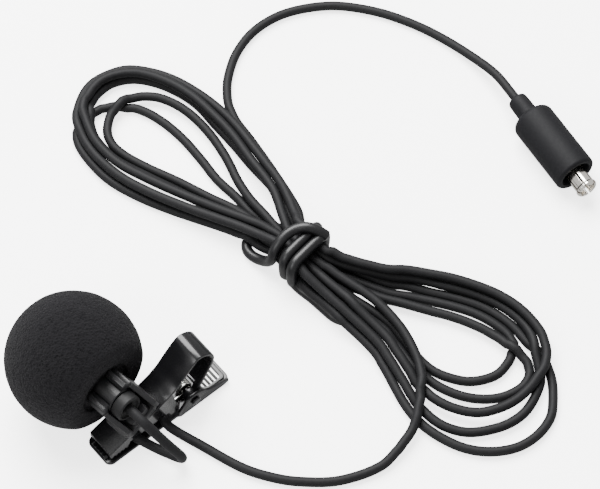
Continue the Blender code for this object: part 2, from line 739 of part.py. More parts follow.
def clear_scene():
    for thing in list(bpy.data.objects):
        bpy.data.objects.remove(thing, do_unlink=True)


def build():
    clear_scene()
    enamel = material("black_enamelled_steel", (0.012, 0.012, 0.014), 0.16, 0.3)
    steel = material("bright_steel", (0.62, 0.62, 0.60), 0.25, 1.0)
    satin = material("satin_black_plastic", (0.022, 0.022, 0.024), 0.38)
    matte = material("matte_black_housing", (0.016, 0.016, 0.018), 0.5, 0.4)
    foam = material("charcoal_foam", (0.028, 0.027, 0.03), 0.95)
    sheath = material("black_cable_sheath", (0.03, 0.03, 0.032), 0.55)
    overmould = material("black_overmould", (0.026, 0.026, 0.028), 0.5)
    rubber = material("black_rubber", (0.018, 0.018, 0.018), 0.7)
    nickel = material("nickel_plate", (0.78, 0.76, 0.72), 0.18, 1.0)
    white = material("white_insulator", (0.72, 0.70, 0.66), 0.4)
    green = material("green_board", (0.02, 0.12, 0.05), 0.4)
    felt = material("grey_felt", (0.2, 0.2, 0.2), 0.95)

    lever_pivot = pivot("lever_pivot", (PIN_X, 0, PIN_Z))
    holder_swivel = pivot("holder_swivel", HOLDER.translation, lever_pivot)
    screen_slide = pivot("windscreen_slide", BALL_CENTRE, holder_swivel)

    build_lower_plate(enamel)
    build_pin(steel)
    build_cords(sheath)
    build_hank(sheath)
    build_tie(sheath)
    build_plug(overmould, steel, white, nickel)

    build_lever(enamel, lever_pivot)
    build_spring(steel, lever_pivot)
    build_rivet(steel, lever_pivot)
    build_washer(steel, lever_pivot)

    build_holder(satin, holder_swivel)
    build_housing(matte, holder_swivel)
    build_grille(matte, holder_swivel)
    build_microphone_inside(felt, steel, green, rubber, holder_swivel)
    build_boot(rubber, holder_swivel)
    build_cord_stub(sheath, holder_swivel)

    build_windscreen(foam, screen_slide)


build()
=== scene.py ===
"""Studio picture of a lavalier microphone on its tie clip, its cable tied in a hank beside it.

Lengths are in millimetres in the clip's working frame and are turned into the row frame by world().
Working frame: x runs from the clip's jaw to its tail, y from the clip to the windscreen, z up.
"""

import math

import bmesh
import bpy
import numpy as np
from mathutils import Matrix, Vector, noise

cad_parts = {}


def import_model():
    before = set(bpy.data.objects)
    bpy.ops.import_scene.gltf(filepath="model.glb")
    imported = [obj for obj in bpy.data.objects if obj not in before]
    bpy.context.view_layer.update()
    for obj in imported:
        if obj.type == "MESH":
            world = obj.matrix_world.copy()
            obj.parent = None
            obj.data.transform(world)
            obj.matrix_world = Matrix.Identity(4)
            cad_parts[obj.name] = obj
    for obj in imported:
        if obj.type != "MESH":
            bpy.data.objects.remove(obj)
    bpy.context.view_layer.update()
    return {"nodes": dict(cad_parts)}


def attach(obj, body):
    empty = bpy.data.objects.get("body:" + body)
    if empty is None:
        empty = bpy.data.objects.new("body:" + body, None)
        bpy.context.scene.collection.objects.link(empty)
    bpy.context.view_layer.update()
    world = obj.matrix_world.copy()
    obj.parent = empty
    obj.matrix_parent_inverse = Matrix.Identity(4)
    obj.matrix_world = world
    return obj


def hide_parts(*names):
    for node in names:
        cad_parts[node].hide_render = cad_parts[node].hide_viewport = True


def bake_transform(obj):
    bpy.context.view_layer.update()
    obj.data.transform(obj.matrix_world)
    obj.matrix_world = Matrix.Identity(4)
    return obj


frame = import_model()

MM = 0.001
SLOPE = math.radians(21.5)
YAW = math.radians(6.0)
RIVET_X = 10.7
PIN_X, PIN_Z = 23.8, 3.0
MIC_HEIGHT = 8.1
RING_AHEAD = 2.8
BALL_RADIUS = 15.0
BALL_AHEAD = 12.2
BALL_BACK = -10.2
BALL_RIM = 2.5
PLUG_SHOULDER = Vector((128.6, 2.0, 5.0))
PLUG_HEADING = Vector((-0.14, -0.99, 0.0)).normalized()
CORD_RADIUS = 1.1
TIE_CENTRE = Vector((64.8, 8.5, 5.5))
TIE_RADIUS = 1.25
PLATE_LENGTH = 33.8
PIN_HEAD_OUTSIDE = 5.15
CREASE = 32


def axes(origin, x_axis, y_axis, z_axis):
    made = Matrix((x_axis, y_axis, z_axis)).transposed().to_4x4()
    made.translation = origin
    return made


def holder_axes():
    along = Vector((math.cos(SLOPE), 0, math.sin(SLOPE)))
    square = Vector((-math.sin(SLOPE), 0, math.cos(SLOPE)))
    across = Vector((0, 1, 0))
    ahead = across * math.cos(YAW) - along * math.sin(YAW)
    side = along * math.cos(YAW) + across * math.sin(YAW)
    foot = Vector((RIVET_X, 0, 4.3 + math.tan(SLOPE) * (RIVET_X - 1.0)))
    return axes(foot, side, ahead, square)


def turned_axes(origin, heading):
    spare = Vector((0, 0, 1)) if abs(heading.z) < 0.9 else Vector((1, 0, 0))
    x_axis = spare.cross(heading).normalized()
    return axes(origin, x_axis, heading.cross(x_axis), heading)


HOLDER = holder_axes()
SIDE = HOLDER.col[0].to_3d()
AHEAD = HOLDER.col[1].to_3d()
SQUARE = HOLDER.col[2].to_3d()
RING_CENTRE = HOLDER @ Vector((0, RING_AHEAD, MIC_HEIGHT))
BALL_CENTRE = RING_CENTRE + AHEAD * BALL_AHEAD
MIC = turned_axes(RING_CENTRE, AHEAD)
BALL = turned_axes(BALL_CENTRE, AHEAD)
PLUG = turned_axes(PLUG_SHOULDER, PLUG_HEADING)
UPRIGHT = Matrix.Identity(4)
PROFILE = axes(Vector((0, 0, 0)), Vector((1, 0, 0)), Vector((0, 0, 1)), Vector((0, -1, 0)))
ACROSS = axes(Vector((0, 0, 0)), Vector((0, 1, 0)), Vector((0, 0, 1)), Vector((1, 0, 0)))
PIN = axes(Vector((PIN_X, 0, PIN_Z)), Vector((0, 0, 1)), Vector((1, 0, 0)), Vector((0, 1, 0)))
ORIGIN = Vector((
    (BALL_CENTRE.x - BALL_RADIUS + PLATE_LENGTH) / 2,
    (BALL_CENTRE.y + BALL_RADIUS - PIN_HEAD_OUTSIDE) / 2,
    0,
))


def world(point):
    return (Vector(point) - ORIGIN) * MM


# ---------------------------------------------------------------- camera, floor and light

def make_camera():
    azimuth, elevation, distance = math.radians(-40), math.radians(60), 620.0
    target = Vector((67.7, 12.2, 0))
    back = Vector((
        math.sin(azimuth) * math.cos(elevation),
        -math.cos(azimuth) * math.cos(elevation),
        math.sin(elevation),
    ))
    data = bpy.data.cameras.new("camera")
    data.sensor_width = 36.0
    data.lens = 163.7
    data.clip_start = 0.01
    data.clip_end = 10.0
    camera = bpy.data.objects.new("camera", data)
    bpy.context.scene.collection.objects.link(camera)
    camera.rotation_mode = "QUATERNION"
    camera.location = world(target + back * distance)
    camera.rotation_quaternion = (-back).to_track_quat("-Z", "Y")
    bpy.context.scene.camera = camera


def make_floor():
    sheet = bmesh.new()
    bmesh.ops.create_grid(sheet, x_segments=1, y_segments=1, size=3)
    data = bpy.data.meshes.new("floor")
    sheet.to_mesh(data)
    sheet.free()
    floor = bpy.data.objects.new("floor", data)
    bpy.context.scene.collection.objects.link(floor)
    white = principled("floor_white", (0.93, 0.93, 0.925), 0.75)
    shader = white.node_tree.nodes["Principled BSDF"]
    shader.inputs["Emission Color"].default_value = (1, 1, 1, 1)
    shader.inputs["Emission Strength"].default_value = 2.6
    floor.data.materials.append(white)
    floor.visible_glossy = False


def make_lights():
    sky = bpy.data.worlds.new("studio")
    sky.use_nodes = True
    sky.node_tree.nodes["Background"].inputs["Color"].default_value = (1, 1, 1, 1)
    sky.node_tree.nodes["Background"].inputs["Strength"].default_value = 0.9
    bpy.context.scene.world = sky
    aim = world((60.0, 10.0, 0))
    for name, place, size, power in (
        ("key", (0.13, 0.40, 0.66), 0.62, 31.0),
        ("side", (-0.55, -0.05, 0.50), 0.35, 3.5),
    ):
        data = bpy.data.lights.new(name, "AREA")
        data.size = size
        data.energy = power
        lamp = bpy.data.objects.new(name, data)
        bpy.context.scene.collection.objects.link(lamp)
        lamp.location = aim + Vector(place)
        lamp.rotation_mode = "QUATERNION"
        lamp.rotation_quaternion = (-Vector(place)).to_track_quat("-Z", "Y")


# ---------------------------------------------------------------- materials

def principled(name, colour, roughness, metallic=0.0, coat=0.0, specular=0.5):
    made = bpy.data.materials.new(name)
    made.use_nodes = True
    shader = made.node_tree.nodes["Principled BSDF"]
    shader.inputs["Base Color"].default_value = (*colour, 1)
    shader.inputs["Roughness"].default_value = roughness
    shader.inputs["Metallic"].default_value = metallic
    shader.inputs["Coat Weight"].default_value = coat
    shader.inputs["Coat Roughness"].default_value = 0.15
    shader.inputs["Specular IOR Level"].default_value = specular
    return made


def add_grain(made, scale, depth, strength, colours=None, detail=3.0, roughness=None):
    """Noise in the object's own space: a bump, and optionally a drift of colour and roughness."""
    tree = made.node_tree
    shader = tree.nodes["Principled BSDF"]
    place = tree.nodes.new("ShaderNodeTexCoord")
    grain = tree.nodes.new("ShaderNodeTexNoise")
    grain.inputs["Scale"].default_value = scale
    grain.inputs["Detail"].default_value = detail
    tree.links.new(place.outputs["Object"], grain.inputs["Vector"])
    bump = tree.nodes.new("ShaderNodeBump")
    bump.inputs["Strength"].default_value = strength
    bump.inputs["Distance"].default_value = depth
    tree.links.new(grain.outputs["Fac"], bump.inputs["Height"])
    tree.links.new(bump.outputs["Normal"], shader.inputs["Normal"])
    if colours:
        blend = tree.nodes.new("ShaderNodeMix")
        blend.data_type = "RGBA"
        blend.inputs[6].default_value = (*colours[0], 1)
        blend.inputs[7].default_value = (*colours[1], 1)
        tree.links.new(grain.outputs["Fac"], blend.inputs[0])
        tree.links.new(blend.outputs[2], shader.inputs["Base Color"])
    if roughness:
        span = tree.nodes.new("ShaderNodeMapRange")
        span.inputs["To Min"].default_value = roughness[0]
        span.inputs["To Max"].default_value = roughness[1]
        tree.links.new(grain.outputs["Fac"], span.inputs["Value"])
        tree.links.new(span.outputs["Result"], shader.inputs["Roughness"])
    return made


def make_foam():
    """Open-cell foam: pores painted darker than the struts as painted shade, with a slow random drift of
    colour.
    """
    made = principled("charcoal_foam", (0.004, 0.004, 0.0044), 1.0, 0.0, 0.0, 0.05)
    tree = made.node_tree
    shader = tree.nodes["Principled BSDF"]
    shader.inputs["Sheen Weight"].default_value = 0.008
    shader.inputs["Sheen Roughness"].default_value = 0.6
    place = tree.nodes.new("ShaderNodeTexCoord")
    pores = tree.nodes.new("ShaderNodeTexVoronoi")
    pores.inputs["Scale"].default_value = 1900
    fine = tree.nodes.new("ShaderNodeTexNoise")
    fine.inputs["Scale"].default_value = 900
    fine.inputs["Detail"].default_value = 4
    slow = tree.nodes.new("ShaderNodeTexNoise")
    slow.inputs["Scale"].default_value = 160
    for texture in (pores, fine, slow):
        tree.links.new(place.outputs["Object"], texture.inputs["Vector"])
    height = tree.nodes.new("ShaderNodeMath")
    height.operation = "MULTIPLY_ADD"
    height.inputs[1].default_value = 0.6
    tree.links.new(pores.outputs["Distance"], height.inputs[0])
    tree.links.new(fine.outputs["Fac"], height.inputs[2])
    # Colour from the pores' depth plus a slow drift: the pores darker than the struts is painted shade; the
    # drift is random unevenness of the foam's own colour.
    pore_shade_and_drift = tree.nodes.new("ShaderNodeValToRGB")
    pore_shade_and_drift.color_ramp.elements[0].position = 0.38
    pore_shade_and_drift.color_ramp.elements[0].color = (0.0008, 0.0008, 0.0010, 1)
    pore_shade_and_drift.color_ramp.elements[1].position = 1.0
    pore_shade_and_drift.color_ramp.elements[1].color = (0.0060, 0.0058, 0.0064, 1)
    pore_depth_and_drift = tree.nodes.new("ShaderNodeMath")
    pore_depth_and_drift.operation = "MULTIPLY_ADD"
    pore_depth_and_drift.inputs[1].default_value = 0.45
    tree.links.new(slow.outputs["Fac"], pore_depth_and_drift.inputs[0])
    tree.links.new(height.outputs["Value"], pore_depth_and_drift.inputs[2])
    tree.links.new(pore_depth_and_drift.outputs["Value"], pore_shade_and_drift.inputs["Fac"])
    tree.links.new(pore_shade_and_drift.outputs["Color"], shader.inputs["Base Color"])
    bump = tree.nodes.new("ShaderNodeBump")
    bump.inputs["Strength"].default_value = 0.9
    bump.inputs["Distance"].default_value = 0.0004
    tree.links.new(height.outputs["Value"], bump.inputs["Height"])
    tree.links.new(bump.outputs["Normal"], shader.inputs["Normal"])
    return made


ENAMEL = add_grain(
    principled("black_enamel", (0.0030, 0.0030, 0.0034), 0.26, 0.0, 0.20, 0.22), 260, 0.00003, 0.15,
)
# Duller, uncoated black that is seen only on the tail slats of the enamelled plate, so that they read as
# lying in shade: painted shade.
SHADE_SATIN = add_grain(
    principled("satin_black_plastic", (0.0038, 0.0038, 0.0042), 0.40, 0.0, 0.0, 0.18), 5200, 0.00002, 0.35,
)
HOLDER_SKIN = add_grain(
    principled("moulded_holder", (0.0060, 0.0060, 0.0066), 0.42, 0.0, 0.0, 0.34), 4200, 0.00002, 0.35,
)
HOUSING = add_grain(
    principled("matte_black_housing", (0.0050, 0.0050, 0.0054), 0.42, 0.0, 0.0, 0.3), 6500, 0.00002, 0.3,
)
RUBBER = add_grain(
    principled("black_rubber", (0.0040, 0.0040, 0.0042), 0.55, 0.0, 0.0, 0.2), 2800, 0.00003, 0.4,
)
SHEATH = add_grain(
    principled("cable_sheath", (0.0050, 0.0050, 0.0054), 0.60, 0.0, 0.0, 0.12), 1300, 0.00005, 0.35,
    ((0.0038, 0.0038, 0.0042), (0.0070, 0.0070, 0.0076)),
)
TIE_RUBBER = add_grain(
    principled("tie_rubber", (0.0030, 0.0030, 0.0034), 0.40, 0.0, 0.0, 0.3), 900, 0.00006, 0.4,
)
OVERMOULD = add_grain(
    principled("black_overmould", (0.0036, 0.0036, 0.0044), 0.5, 0.0, 0.0, 0.12), 1500, 0.00006, 0.4,
    ((0.0022, 0.0022, 0.0027), (0.0046, 0.0046, 0.0055)), roughness=(0.54, 0.72),
)
STEEL = add_grain(principled("bright_steel", (0.45, 0.45, 0.43), 0.22, 1.0), 3000, 0.00001, 0.2)
NICKEL = add_grain(
    principled("nickel_plate", (0.74, 0.71, 0.66), 0.14, 1.0), 700, 0.00001, 0.2, roughness=(0.08, 0.26),
)
INSULATOR = principled("dark_insulator", (0.03, 0.028, 0.024), 0.5)
BOARD = principled("green_board", (0.02, 0.12, 0.05), 0.4)
FELT = add_grain(principled("grey_felt", (0.2, 0.2, 0.2), 0.95), 3000, 0.0001, 0.8)
FOAM = make_foam()


# ---------------------------------------------------------------- shapes

def finish_mesh(name, shape, surface, body, replaces=(), crease=CREASE):
    for vertex in shape.verts:
        vertex.co = world(vertex.co)
    bmesh.ops.recalc_face_normals(shape, faces=shape.faces)
    data = bpy.data.meshes.new(name)
    shape.to_mesh(data)
    shape.free()
    data.materials.append(surface)
    data.shade_smooth()
    data.set_sharp_from_angle(angle=math.radians(crease))
    made = bpy.data.objects.new(name, data)
    bpy.context.scene.collection.objects.link(made)
    if body:
        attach(made, body)
    if replaces:
        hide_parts(*replaces)
    return made


def rounded(corners, radius, steps=6):
    radii = radius if isinstance(radius, (list, tuple)) else [radius] * len(corners)
    outline = []
    for index, corner in enumerate(corners):
        here = Vector(corner)
        before = (Vector(corners[index - 1]) - here).normalized()
        after = (Vector(corners[(index + 1) % len(corners)]) - here).normalized()
        size = radii[index]
        if size <= 0:
            outline.append(tuple(here))
            continue
        half = before.angle(after) / 2
        reach = size / math.tan(half)
        centre = here + (before + after).normalized() * (size / math.sin(half))
        start = here + before * reach - centre
        end = here + after * reach - centre
        for step in range(steps + 1):
            way = start.lerp(end, step / steps).normalized() * size
            outline.append(tuple(centre + way))
    return outline


def extruded(outline, low, high, place, bevel=0.0, segments=3):
    """A plate with the outline in the frame's x and y, its rims rounded by bevel."""
    shape = bmesh.new()
    ring = [shape.verts.new((u, v, low)) for u, v in outline]
    face = shape.faces.new(ring)
    risen = bmesh.ops.extrude_face_region(shape, geom=[face])["geom"]
    top = [item for item in risen if isinstance(item, bmesh.types.BMVert)]
    bmesh.ops.translate(shape, verts=top, vec=(0, 0, high - low))
    bmesh.ops.recalc_face_normals(shape, faces=shape.faces)
    if bevel > 0:
        rims = [
            edge for edge in shape.edges
            if abs(edge.verts[0].co.z - edge.verts[1].co.z) < 1e-6
        ]
        bmesh.ops.bevel(
            shape, geom=rims, offset=bevel, offset_type="OFFSET", segments=segments,
            profile=0.5, affect="EDGES", clamp_overlap=True,
        )
    bmesh.ops.transform(shape, matrix=place, verts=shape.verts)
    return shape


def turned(profile, place, steps=64, ring=True):
    shape = bmesh.new()
    verts = [shape.verts.new((radius, 0, height)) for radius, height in profile]
    pairs = list(zip(verts, verts[1:]))
    if ring:
        pairs.append((verts[-1], verts[0]))
    edges = [shape.edges.new(pair) for pair in pairs]
    bmesh.ops.spin(
        shape, geom=verts + edges, cent=(0, 0, 0), axis=(0, 0, 1), angle=math.tau, steps=steps,
        use_duplicate=False,
    )
    bmesh.ops.remove_doubles(shape, verts=shape.verts, dist=1e-4)
    bmesh.ops.transform(shape, matrix=place, verts=shape.verts)
    return shape


def softened(profile, radius, ring=True, steps=4):
    """The same turned profile with its corners rounded, as far as its sides allow."""
    points = [Vector(point) for point in profile]
    made = []
    last = len(points) - 1
    for index, here in enumerate(points):
        if not ring and index in (0, last):
            made.append(tuple(here))
            continue
        before = points[index - 1] - here
        after = points[(index + 1) % len(points)] - here
        if before.length < 1e-6 or after.length < 1e-6:
            made.append(tuple(here))
            continue
        bend = before.angle(after)
        if bend > math.radians(168):
            made.append(tuple(here))
            continue
        reach = min(radius / math.tan(bend / 2), before.length * 0.45, after.length * 0.45)
        size = reach * math.tan(bend / 2)
        centre = here + (before.normalized() + after.normalized()).normalized() * (size / math.sin(bend / 2))
        start = here + before.normalized() * reach - centre
        end = here + after.normalized() * reach - centre
        for step in range(steps + 1):
            made.append(tuple(centre + start.lerp(end, step / steps).normalized() * size))
    return made


def cut(target, operation, *shapes):
    """Applies Booleans with the shapes, then removes them."""
    helpers = []
    for number, shape in enumerate(shapes):
        helper = finish_mesh(f"helper_{number}", shape, SHADE_SATIN, None)
        step = target.modifiers.new(f"step_{number}", "BOOLEAN")
        step.operation = operation
        step.solver = "EXACT"
        step.object = helper
        helpers.append(helper)
    bpy.context.view_layer.update()
    graph = bpy.context.evaluated_depsgraph_get()
    data = bpy.data.meshes.new_from_object(target.evaluated_get(graph))
    target.modifiers.clear()
    target.data = data
    data.shade_smooth()
    data.set_sharp_from_angle(angle=math.radians(CREASE))
    for helper in helpers:
        bpy.data.objects.remove(helper, do_unlink=True)
    return target


def smooth_route(points, spacing):
    """Points at an even spacing along a smooth curve through the given ones."""
    points = np.array([tuple(point) for point in points], float)
    padded = np.vstack([2 * points[0] - points[1], points, 2 * points[-1] - points[-2]])
    dense = []
    for a, b, c, d in zip(padded, padded[1:], padded[2:], padded[3:]):
        for t in np.arange(0, 1, 1 / 16):
            dense.append(
                b + (c - a) * (t / 2) + (2 * a - 5 * b + 4 * c - d) * (t * t / 2)
                + (3 * b - a - 3 * c + d) * (t**3 / 2)
            )
    dense.append(points[-1])
    return evenly(np.array(dense), spacing)


def evenly(line, spacing):
    along = np.concatenate([[0], np.cumsum(np.linalg.norm(np.diff(line, axis=0), axis=1))])
    count = max(2, round(along[-1] / spacing))
    want = np.linspace(0, along[-1], count + 1)
    return np.stack([np.interp(want, along, line[:, k]) for k in range(3)], axis=1)


def cord_curve(name, line, radius, surface, body):
    """A round cord as one open curve through the points of the line, in millimetres."""
    data = bpy.data.curves.new(name, "CURVE")
    data.dimensions = "3D"
    data.bevel_depth = radius * MM
    data.bevel_resolution = 6
    data.use_fill_caps = True
    spline = data.splines.new("POLY")
    spline.points.add(len(line) - 1)
    for point, place in zip(spline.points, line):
        point.co = (*world(place), 1)
    spline.use_smooth = True
    data.materials.append(surface)
    made = bpy.data.objects.new(name, data)
    bpy.context.scene.collection.objects.link(made)
    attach(made, body)
    return made


def tube_mesh(line, radius, sides=20):
    """A closed round tube round the line, with frames carried along it so that it never twists."""
    line = np.array([tuple(point) for point in line], float)
    shape = bmesh.new()
    ways = np.gradient(line, axis=0)
    ways /= np.linalg.norm(ways, axis=1)[:, None]
    side = np.cross(ways[0], (0.3, 0.2, 0.9))
    rings = []
    for centre, way in zip(line, ways):
        side = side - way * side.dot(way)
        side /= np.linalg.norm(side)
        other = np.cross(way, side)
        rings.append([
            shape.verts.new(centre + radius * (side * math.cos(a) + other * math.sin(a)))
            for a in [math.tau * n / sides for n in range(sides)]
        ])
    for first, second in zip(rings, rings[1:]):
        for index in range(sides):
            after = (index + 1) % sides
            shape.faces.new((first[index], first[after], second[after], second[index]))
    shape.faces.new(rings[0])
    shape.faces.new(rings[-1])
    return shape


# ---------------------------------------------------------------- cable

# Where the points come from: the loops and LEAD_OVER are mostly values printed by a separate helper script,
# which projected positions read off the photo in pixels onto the table. They aren't worked out by a formula.
# The other values in them were changed. Part of LEAD_ROUTE is read the same way. The tie's lists began as
# such positions and have been rewritten.

# From the microphone's boot, round a small loop and into the clip's jaw
FIRST_ROUTE = [
    tuple(RING_CENTRE + AHEAD * -2.0),
    tuple(RING_CENTRE + AHEAD * -4.0),
    tuple(RING_CENTRE + AHEAD * -6.0),
    (8.25, -5.2, 15.7), (8.6, -7.4, 15.0), (9.7, -10.4, 12.2), (11.0, -12.6, 8.8), (12.3, -13.7, 5.2),
    (12.9, -13.3, 2.3), (12.3, -11.4, 1.1), (11.2, -9.0, 1.0), (10.1, -6.6, 1.3), (8.9, -4.2, 2.1),
    (8.0, -1.4, 2.25), (8.9, 1.9, 2.25), (12.1, 3.3, 2.25),
]
# Out of the jaw and over the table to the hank
LEAD_ROUTE = [
    (12.1, 3.3, 2.25), (15.4, 1.8, 2.25), (16.2, -1.5, 2.25), (15.6, -4.2, 2.1), (16.2, -6.6, 1.3),
    (18.3, -12.8, 1.0), (21.6, -22.5, 1.0), (25.0, -28.5, 1.0), (29.3, -33.6, 1.0), (36.0, -38.9, 1.0),
    (44.7, -42.0, 1.0), (50.6, -41.6, 1.2),
]
# Lead's stretch over the right lobe, up to the tie
LEAD_OVER = [
    (56.0, -40.0), (60.2, -37.1), (64.3, -32.9), (67.0, -29.0), (68.6, -24.6), (69.6, -20.3), (69.9, -16.1),
    (69.8, -12.6), (69.2, -8.6),
]
# From the hank to the plug
TAIL_ROUTE = [
    (78.3, 50.6, 1.0), (79.9, 53.3, 1.0), (83.6, 57.4, 1.0), (89.7, 61.5, 1.0), (97.2, 63.6, 1.0),
    (105.8, 62.6, 1.0), (115.0, 57.6, 1.0), (121.6, 50.3, 1.0), (126.0, 42.6, 1.0), (129.2, 34.0, 1.1),
    (130.8, 25.0, 2.0), (130.9, 16.5, 3.9),
]
# Loops of the left lobe, from the tie's right side round the far end to its left side
LEFT_LOOPS = [
    [
        (71.2, 24.6), (72.7, 35.1), (73.8, 43.4), (73.9, 51.0), (73.4, 57.7), (71.7, 63.9),
        (68.3, 69.9), (64.1, 73.2), (59.2, 74.4), (54.6, 73.1), (50.7, 70.1), (48.5, 66.0),
        (47.5, 60.7), (48.1, 53.7), (50.6, 46.1), (53.8, 37.9), (57.1, 30.0), (60.2, 22.6),
    ],
    [
        (71.9, 23.9), (73.9, 35.4), (75.2, 44.9), (75.1, 52.8), (73.9, 59.8), (71.5, 66.7),
        (67.0, 72.9), (62.2, 75.1), (57.0, 75.3), (52.1, 72.7), (48.8, 68.9), (46.8, 64.0),
        (46.1, 58.2), (46.9, 50.5), (49.4, 42.6), (52.7, 34.7), (56.2, 27.1), (58.9, 21.0),
    ],
    [
        (70.4, 25.0), (71.4, 34.8), (72.2, 41.8), (72.6, 49.1), (72.9, 55.5), (71.9, 61.1),
        (69.5, 66.8), (66.0, 71.2), (61.4, 73.5), (56.6, 73.4), (52.6, 71.3), (50.2, 67.9),
        (48.9, 63.1), (49.3, 56.8), (51.8, 49.5), (54.9, 41.1), (57.9, 32.8), (61.4, 23.6),
    ],
    [
        (65.2, 24.5), (66.3, 32.1), (68.6, 39.9), (69.9, 47.6), (69.8, 54.9), (68.1, 60.8),
        (65.0, 64.9), (60.6, 66.8), (55.9, 66.5), (52.2, 63.7), (50.6, 60.3), (50.7, 56.1),
        (52.5, 50.4), (55.9, 42.4), (58.9, 34.0), (61.9, 25.4),
    ],
    [
        (63.3, 24.4), (63.5, 30.6), (63.3, 37.1), (64.1, 44.1), (64.5, 51.4), (63.8, 58.5),
        (61.7, 64.5), (57.8, 68.4), (53.4, 70.3), (49.4, 69.5), (46.4, 66.6), (44.9, 60.9),
        (45.0, 53.1), (47.4, 45.2), (51.3, 36.8), (55.2, 29.5), (58.4, 23.0),
    ],
]
# Loops of the right lobe, from the tie's near side round the far end to its far side
RIGHT_LOOPS = [
    [
        (65.6, -17.5), (65.4, -23.6), (64.6, -29.3), (64.0, -33.6), (64.3, -38.1), (66.2, -42.8),
        (69.3, -46.6), (73.5, -48.7), (77.5, -49.5), (82.0, -49.2), (86.7, -47.7), (90.4, -44.7),
        (92.3, -39.5), (92.6, -33.9), (91.4, -28.4), (89.2, -23.4), (86.3, -18.5), (82.9, -14.3),
        (79.3, -10.3), (75.0, -6.5),
    ],
    [
        (63.8, -17.5), (63.2, -23.6), (62.0, -30.1), (61.1, -34.3), (60.8, -38.7), (61.8, -43.7),
        (65.1, -48.4), (71.0, -51.7), (76.1, -52.7), (80.6, -51.9), (85.2, -49.5), (88.0, -46.2),
        (90.5, -41.6), (91.9, -37.0), (91.6, -32.5), (90.2, -27.7), (87.8, -22.9), (84.5, -18.0),
        (80.1, -12.2), (75.2, -7.4),
    ],
    [
        (67.3, -15.9), (67.0, -21.4), (66.6, -27.6), (66.8, -32.2), (67.9, -36.7), (70.3, -41.3),
        (73.7, -44.9), (77.4, -47.0), (81.5, -47.7), (84.6, -46.7), (86.3, -44.5), (86.3, -40.3),
        (85.5, -35.0), (83.7, -29.5), (81.1, -24.4), (78.1, -19.8), (75.1, -15.1), (71.3, -9.4),
    ],
    [
        (68.7, -13.8), (69.0, -20.5), (68.6, -27.0), (69.1, -31.7), (70.9, -35.5), (73.6, -38.8),
        (77.4, -40.9), (80.7, -41.4), (84.5, -40.4), (87.3, -38.6), (88.5, -35.4), (88.4, -31.9),
        (87.2, -27.9), (85.0, -24.0), (81.9, -19.8), (77.8, -14.8), (73.1, -9.3),
    ],
    [
        (62.8, -17.6), (61.9, -23.9), (60.3, -29.5), (59.2, -33.8), (58.6, -38.8), (59.4, -44.4),
        (61.6, -50.1), (65.2, -54.5), (70.2, -57.6), (75.5, -58.4), (80.5, -57.2), (83.8, -54.4),
        (87.2, -50.0), (88.8, -45.1), (89.3, -40.4), (89.3, -35.6), (88.4, -30.7), (86.8, -26.2),
        (83.9, -21.4), (80.8, -16.9), (77.7, -12.2), (74.2, -8.0),
    ],
]
# How far across the tie each pass lies: back to the left lobe, first the lead, and out to the right lobe
RETURNS = [1.15, 3.4, 2.3, 0.0, 1.15, 3.4]
OUTWARDS = [-1.15, -3.4, -2.3, -1.15, -3.4]
TIE_SPAN = (4.0, 13.0)
# Bight of the tie on the near side of the hank, and its folded end, both on the table
TIE_BIGHT = [
    (59.1, 10.9, 8.2), (58.3, 10.8, 6.0), (58.0, 11.8, 3.8), (57.5, 13.8, 2.2), (57.0, 16.2, 1.45),
    (57.2, 18.3, 1.27), (58.6, 19.9, 1.27), (60.4, 19.5, 1.27), (61.5, 17.9, 1.27), (62.4, 15.4, 1.27),
    (63.4, 12.9, 1.27), (65.3, 10.9, 1.27),
]
TIE_FOLD = [
    (59.8, 2.4, 1.5), (60.4, -0.8, 1.27), (60.7, -4.4, 1.27), (61.0, -7.3, 1.27), (61.8, -9.2, 1.27),
    (63.1, -9.9, 1.27), (64.4, -9.1, 1.27), (64.9, -7.2, 1.27), (64.9, -3.4, 1.27), (64.9, 0.2, 1.27),
    (65.0, 3.0, 1.27),
]
TAIL_START = [(71.6, 19.0), (74.4, 30.0), (76.2, 40.0), (77.0, 46.4)]
SPACING = 1.25
START_HEIGHT = 29.4
START_FALL = 27.0
LEAD_RISE = 9
# The relaxation: how many rounds, and from what share of them the cable only settles
ROUNDS = 900
SETTLING = 0.92
STRAND_GAP = 2.0 * CORD_RADIUS + 0.05
LOOK_AROUND = 4.4
LARGEST_FALL = 0.25
# Space for the centrelines inside the tie: half its width, and half its height before and after the squeeze
TIE_WIDE = 3.6
TIE_OPEN = 30.0
TIE_TALL = 1.88
TIE_DROP = 24.0
SQUEEZED_BY = 0.45
# Wraps of the tie round the bundle
WRAP_HALF_WIDTH = 5.9
WRAP_HALF_HEIGHT = 4.15
WRAP_PITCH = 2.62
WRAP_LEAN = 0.6
ROOT_LENGTH = 13.5


def hank_plan():
    """Centreline of the whole hank in plan: lead, five laps of both lobes, start of the tail."""
    near, far = TIE_SPAN
    plan = list(LEAD_OVER)
    for lap in range(5):
        back = TIE_CENTRE.x + RETURNS[lap]
        out = TIE_CENTRE.x + OUTWARDS[lap]
        plan += [(back, near), (back, far), *LEFT_LOOPS[lap]]
        plan += [(out, far), (out, near), *RIGHT_LOOPS[lap]]
    back = TIE_CENTRE.x + RETURNS[5]
    plan += [(back, near), (back, far), *TAIL_START]
    return plan


